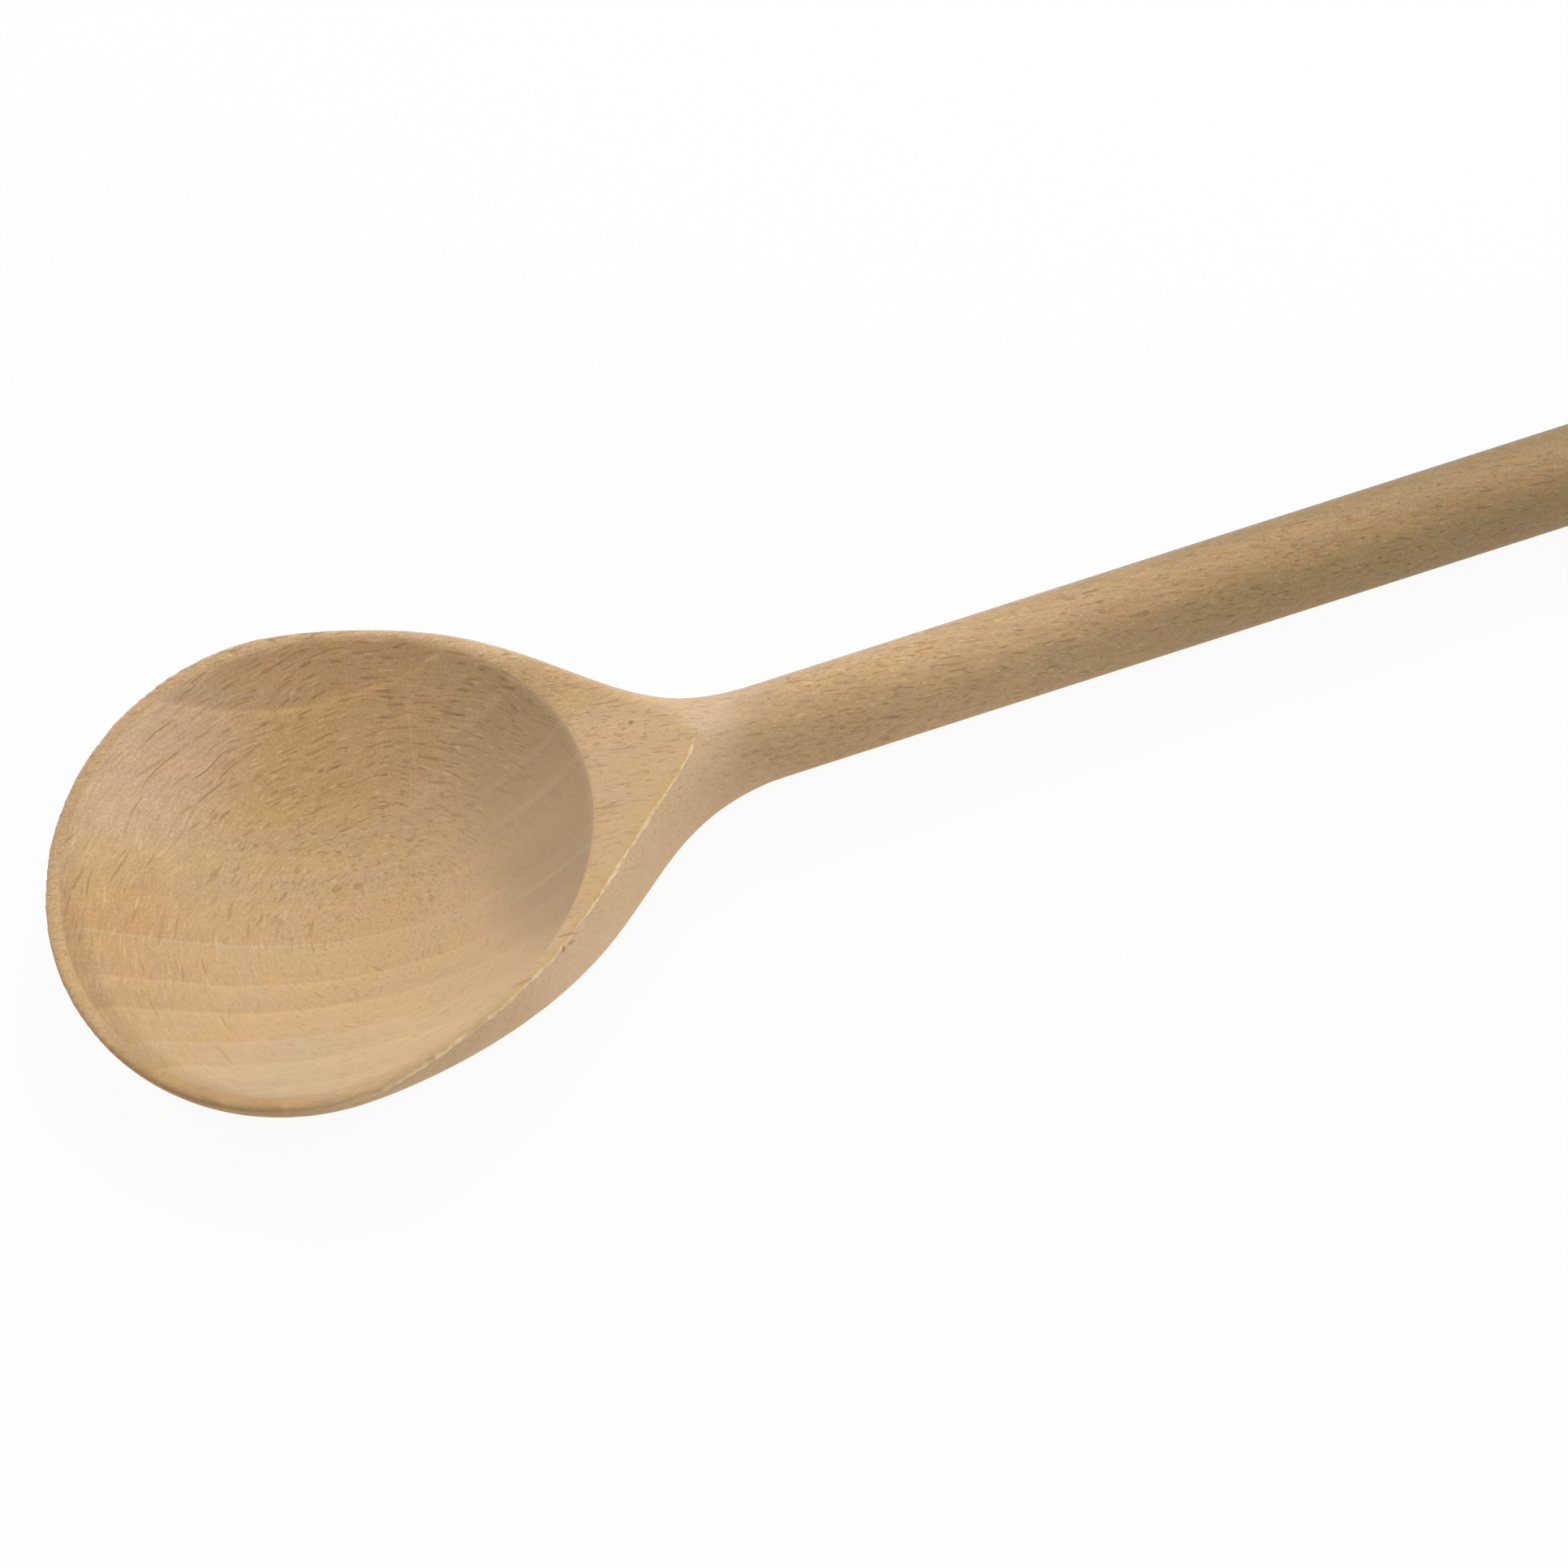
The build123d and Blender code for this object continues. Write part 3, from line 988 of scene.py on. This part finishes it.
        # Painted light on the flat top face, most on its near side
        top_face = self.product(self.outside, self.top_face, self.step("top_near_side"))
        self.tint(top_face, TOP_FACE_PAINTED_LIGHT)
        # Patches of tone, with some painted light and painted shade among them
        for middle_x, middle_y, half_x, half_y, shade, in_hollow in PATCHES:
            squares = self.oval(middle_x, middle_y, half_x, half_y)
            patch = self.between(squares, *PATCH_FADE, 1.0, 0.0)
            self.tint(self.product(patch, self.hollow if in_hollow else self.outside), shade)

    def neck_lines(self):
        """Thin light ring lines on the hollow's neck side."""
        lines = 0.0
        for place in NECK_LINES:
            gap = self.math("ABSOLUTE", self.math("SUBTRACT", self.ring_line, place))
            lines = self.math("ADD", lines, self.between(gap, *NECK_LINE_FADE, 1.0, 0.0))
        return self.product(lines, self.step("neck_side"), self.hollow)

    def lay_grain(self):
        """Fibres and speckle, then the dashes and the neck's ring lines."""
        swing = self.math("MULTIPLY_ADD", self.handle, FIBRE_HANDLE_GAIN, FIBRE_SWING)
        self.vary("fibres", swing)
        grain = self.product(self.grain, self.grain)
        self.vary("speckle", self.math("MULTIPLY_ADD", grain, SPECKLE_GRAIN_GAIN, SPECKLE_SWING))
        self.flecks = {}
        for name, (*pattern, thinned_by, colour, share) in DASHES.items():
            flecks = self.dashes(*pattern)
            if thinned_by:
                flecks = self.product(flecks, self.step(thinned_by))
            self.flecks[name] = flecks
            self.glaze(self.math("MULTIPLY", flecks, share, clamp=True), colour)
        lines = self.math("MULTIPLY", self.neck_lines(), NECK_LINE_SHARE, clamp=True)
        self.glaze(lines, "pale_wood_and_sheen")

    def rub_and_highlight_near_edge(self):
        """A thin pale line along the near edge, worn wood partly painted as a highlight, with
        yellower wood just inside it.
        """
        near = self.step("near_side", "rub_start", "rub_end")
        outwards = self.math("SUBTRACT", self.measures["edge_gap"], RUB_PLACE)
        wander = self.measures["rub_wander"]
        gap = self.math("ABSOLUTE", self.math("MULTIPLY_ADD", wander, RUB_WANDER, outwards))
        gap_share = self.math("DIVIDE", gap, self.step("rub_line_width"))
        line = self.product(self.between(gap_share, *RUB_FADE, 1.0, 0.0), near)
        self.glaze(self.product(self.step("inside_edge", "up_to_edge"), near), "wood_gold")
        # Pale worn line, partly a painted highlight where the edge catches the light
        self.glaze(self.product(line, self.step("rub_line_breaks")), "pale_wood_and_sheen")

    def place_marks(self):
        """Single flecks, pits and scratches, each at its own place."""
        marked = self.step("marked")
        for middle_x, middle_y, half_length, half_width, turn, colour, strength in MARKS:
            squares = self.oval(middle_x, middle_y, half_length, half_width, turn)
            mark = self.between(squares, *MARK_FADE, strength, 0.0)
            self.glaze(self.product(mark, marked), colour)

    def finish_surface(self):
        """Dull wood with a slight relief, and the colour laid on so far."""
        fibres = self.measures["fibres"]
        speckle = self.product(self.measures["speckle"], SPECKLE_HEIGHT)
        height = self.math("MULTIPLY_ADD", fibres, FIBRE_HEIGHT, speckle)
        for name in ("long_flecks", "dark_flecks"):
            height = self.math("SUBTRACT", height, self.product(self.flecks[name], FLECK_DEPTH))
        relief = self.add(
            "ShaderNodeBump", Strength=RELIEF_STRENGTH, Distance=RELIEF_DEPTH, Height=height
        )
        shader = self.add(
            "ShaderNodeBsdfPrincipled", Base_Color=self.colour, Roughness=self.step("dullness"),
            Normal=relief.outputs[0], Specular_IOR_Level=SHINE,
        )
        self.add("ShaderNodeOutputMaterial", Surface=shader.outputs[0])


def make_beech(finish):
    """The beech material, in a user's colours."""
    material = bpy.data.materials.new("beech")
    material.use_nodes = True
    wood = BeechRecipe(material.node_tree, finish)
    wood.lay_plain_wood()
    wood.lay_rings()
    wood.lay_handle_tones()
    wood.lay_local_tones()
    wood.lay_grain()
    wood.rub_and_highlight_near_edge()
    wood.place_marks()
    wood.finish_surface()
    return material


def finish_values(finish):
    """The finish's colours by name."""
    return {name: tuple(getattr(finish, name)) for name in BeechFinish.__annotations__}


class SPOON_OT_carve(Operator):
    """Carves the spoon: turns the blank, cuts its top and its hollow, and finishes the beech"""

    bl_idname = "spoon.carve"
    bl_label = "Carve the spoon"

    def execute(self, context):
        sizes = context.scene.spoon_sizes
        piece = turn_blank(sizes)
        cut_away(piece, make_top_cutter(sizes))
        cut_away(piece, make_hollow_cutter(sizes))
        apply_modifier(piece, "REMESH", mode="VOXEL", voxel_size=sizes.mesh_step)
        apply_modifier(piece, "SMOOTH", factor=SOFTENING, iterations=sizes.edge_softening)
        bpy.ops.object.select_all(action="DESELECT")
        piece.select_set(True)
        bpy.ops.object.shade_smooth()
        if len(piece.data.polygons) < FEWEST_FACES:
            raise RuntimeError("the spoon's surface came out empty")
        mark_regions(piece, sizes)
        piece.data.materials.append(make_beech(finish_values(context.scene.beech_finish)))
        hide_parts("spoon")
        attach(piece, "root")
        return {"FINISHED"}


# The floor: its size and how far it lies under the spoon, in metres, and how much of it shows
# as plain white
FLOOR_SIZE = 8.0
FLOOR_DROP = 0.0002
FLOOR_WHITE_SHARE = 0.94
WHITE = (1, 1, 1, 1)


def looked_at(r):
    """1 where the camera looks at a surface, straight, in a reflection or through glass."""
    path = r.add("ShaderNodeLightPath")
    seen = r.math("MAXIMUM", path.outputs["Is Camera Ray"], path.outputs["Is Glossy Ray"])
    return r.math("MAXIMUM", seen, path.outputs["Is Transmission Ray"])


def make_floor(settings):
    """A wide pale floor that shows as white and keeps the spoon's soft shadow."""
    bpy.ops.object.select_all(action="DESELECT")
    bpy.ops.mesh.primitive_plane_add(size=FLOOR_SIZE, location=(0, 0, -FLOOR_DROP))
    floor = bpy.context.object
    floor.name = "floor"
    material = bpy.data.materials.new("pale_floor")
    material.use_nodes = True
    r = Recipe(material.node_tree)
    white_share = r.product(looked_at(r), FLOOR_WHITE_SHARE)
    matt = r.add("ShaderNodeBsdfDiffuse", Color=tuple(settings.floor_colour))
    white = r.add("ShaderNodeEmission", Color=WHITE, Strength=1.0)
    mixed = r.add("ShaderNodeMixShader", n0=white_share, n1=matt.outputs[0], n2=white.outputs[0])
    r.add("ShaderNodeOutputMaterial", Surface=mixed.outputs[0])
    floor.data.materials.append(material)


def light_world(settings):
    """Even faint light from all round, which shows as white."""
    world = bpy.data.worlds.new("studio")
    bpy.context.scene.world = world
    world.use_nodes = True
    r = Recipe(world.node_tree)
    even = r.add("ShaderNodeBackground", Color=WHITE, Strength=settings.sky_strength)
    white = r.add("ShaderNodeBackground", Color=WHITE, Strength=1.0)
    mixed = r.add("ShaderNodeMixShader", n0=looked_at(r), n1=even.outputs[0], n2=white.outputs[0])
    r.add("ShaderNodeOutputWorld", Surface=mixed.outputs[0])


# Soft square lamps that stand round the bowl and point at it: where they point, how far off they
# stand and their size, in metres, then each one's name, direction and power in watts
LAMP_TARGET = (-0.09, 0.0, 0.01)
LAMP_DISTANCE = 1.2
LAMP_SIZE = 0.6
LAMPS = (
    ("top_lamp", (0.3, 0.6, 0.75), 8.3),
    ("far_lamp", (-0.5, 0.8, 0.35), 4.8),
    ("right_lamp", (0.8, 0.1, 0.55), 3.4),
    ("low_right_lamp", (0.9, -0.3, 0.2), 5.5),
    ("near_lamp", (0.0, -0.95, 0.3), 2.4),
)


def add_soft_lamp(name, direction, power):
    """A square soft lamp that stands in a direction from the bowl and points at it."""
    lamp_data = bpy.data.lights.new(name, "AREA")
    lamp_data.shape = "SQUARE"
    lamp_data.size = LAMP_SIZE
    lamp_data.energy = power
    lamp = bpy.data.objects.new(name, lamp_data)
    bpy.context.scene.collection.objects.link(lamp)
    away = Vector(direction).normalized()
    lamp.location = Vector(LAMP_TARGET) + away * LAMP_DISTANCE
    lamp.rotation_euler = away.to_track_quat("Z", "Y").to_euler()


# The picture's middle, right of and above the bowl's centre in metres, the camera's film width
# in millimetres, and the nearest and farthest that it sees in metres
PICTURE_RIGHT = 0.05917
PICTURE_UP = 0.01187
FILM_WIDTH = 36.0
CAMERA_NEAREST = 0.1
CAMERA_FARTHEST = 20.0


def place_camera(settings, sizes):
    """The photograph's long-lens view: steep from the near side, handle rising to the right."""
    lean, height, roll = sizes.handle_lean, settings.view_elevation, settings.view_roll
    along = Vector((cos(lean), 0, -sin(lean)))
    up = Vector((sin(lean), 0, cos(lean)))
    side = Vector((0, 1, 0))
    to_camera = -cos(height) * side + sin(height) * up
    near = -sin(height) * side - cos(height) * up
    picture_right = along * cos(roll) + near * sin(roll)
    picture_up = along * sin(roll) - near * cos(roll)
    target = bowl_origin(sizes) + picture_right * PICTURE_RIGHT + picture_up * PICTURE_UP
    camera_data = bpy.data.cameras.new("camera")
    camera_data.sensor_width = FILM_WIDTH
    camera_data.lens = FILM_WIDTH * settings.view_distance / settings.view_width
    camera_data.clip_start = CAMERA_NEAREST
    camera_data.clip_end = CAMERA_FARTHEST
    camera = bpy.data.objects.new("camera", camera_data)
    bpy.context.scene.collection.objects.link(camera)
    turn = Matrix((picture_right, picture_up, to_camera)).transposed()
    place = target + to_camera * settings.view_distance
    camera.matrix_world = Matrix.Translation(place) @ turn.to_4x4()
    bpy.context.scene.camera = camera


class SPOON_OT_set_stage(Operator):
    """Lays the pale floor, hangs the soft lamps and places the camera"""

    bl_idname = "spoon.set_stage"
    bl_label = "Set the stage"

    def execute(self, context):
        settings = context.scene.stage_settings
        make_floor(settings)
        light_world(settings)
        for name, direction, power in LAMPS:
            add_soft_lamp(name, direction, power * settings.lamp_power)
        place_camera(settings, context.scene.spoon_sizes)
        context.scene.view_settings.view_transform = "Standard"
        if context.scene.camera is None:
            raise RuntimeError("the stage has no camera")
        return {"FINISHED"}


class SPOON_PT_workshop(Panel):
    """Lists the steps and sizes of the spoon."""

    bl_idname = "SPOON_PT_workshop"
    bl_label = "Wooden spoon"
    bl_space_type = "VIEW_3D"
    bl_region_type = "UI"
    bl_category = "Spoon"

    def draw(self, context):
        for operator in (SPOON_OT_carve, SPOON_OT_set_stage):
            self.layout.operator(operator.bl_idname)
        scene = context.scene
        for group in (scene.spoon_sizes, scene.beech_finish, scene.stage_settings):
            box = self.layout.box()
            for name in group.__annotations__:
                box.prop(group, name)


CLASSES = (
    SpoonSizes, BeechFinish, StageSettings, SPOON_OT_carve, SPOON_OT_set_stage, SPOON_PT_workshop
)


def register():
    for each in CLASSES:
        bpy.utils.register_class(each)
    bpy.types.Scene.spoon_sizes = PointerProperty(type=SpoonSizes)
    bpy.types.Scene.beech_finish = PointerProperty(type=BeechFinish)
    bpy.types.Scene.stage_settings = PointerProperty(type=StageSettings)


def unregister():
    del bpy.types.Scene.stage_settings
    del bpy.types.Scene.beech_finish
    del bpy.types.Scene.spoon_sizes
    for each in reversed(CLASSES):
        bpy.utils.unregister_class(each)


def main():
    register()
    bpy.ops.spoon.carve()
    bpy.ops.spoon.set_stage()


if __name__ == "__main__":
    main()
